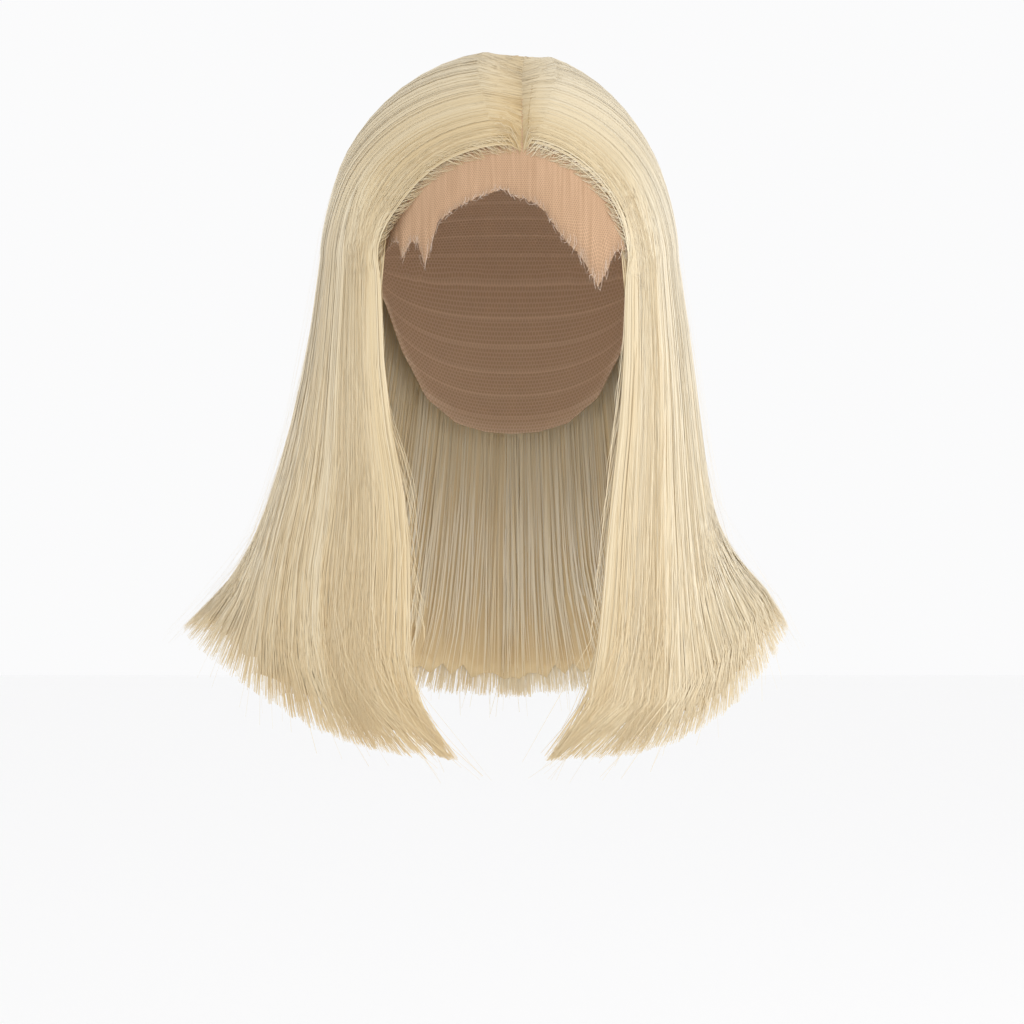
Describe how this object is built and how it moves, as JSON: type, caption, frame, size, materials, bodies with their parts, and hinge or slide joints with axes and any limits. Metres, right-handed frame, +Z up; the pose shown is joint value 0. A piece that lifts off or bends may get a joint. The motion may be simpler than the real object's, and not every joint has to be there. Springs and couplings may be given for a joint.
{
  "type": "lace-front bob wig",
  "caption": "Straight shoulder-length bob wig with a near-middle part, two front curtains, flared shoulder locks and a sheer lace front on a stretch-net cap, in its worn form.",
  "frame": {"origin": "inside of the cap at the crown, where it sits on the top of the head", "axes": "+Z up, the face opening looks along -Y, +X to the viewer's right and the wearer's left"},
  "size_m": [0.3127, 0.2078, 0.3597],
  "materials": {
    "hair": "satin, straight strands",
    "lace": "sheer matte net",
    "cap_net": "matte stretch net"
  },
  "bodies": {
    "root": {"lace_front": "lace", "cap": "cap_net", "hair_left_front": "hair", "hair_left_temple": "hair", "hair_left_side": "hair", "hair_left_rear": "hair", "hair_left_back": "hair", "hair_right_front": "hair", "hair_right_temple": "hair", "hair_right_side": "hair", "hair_right_rear": "hair", "hair_right_back": "hair"}
  },
  "joints": []
}
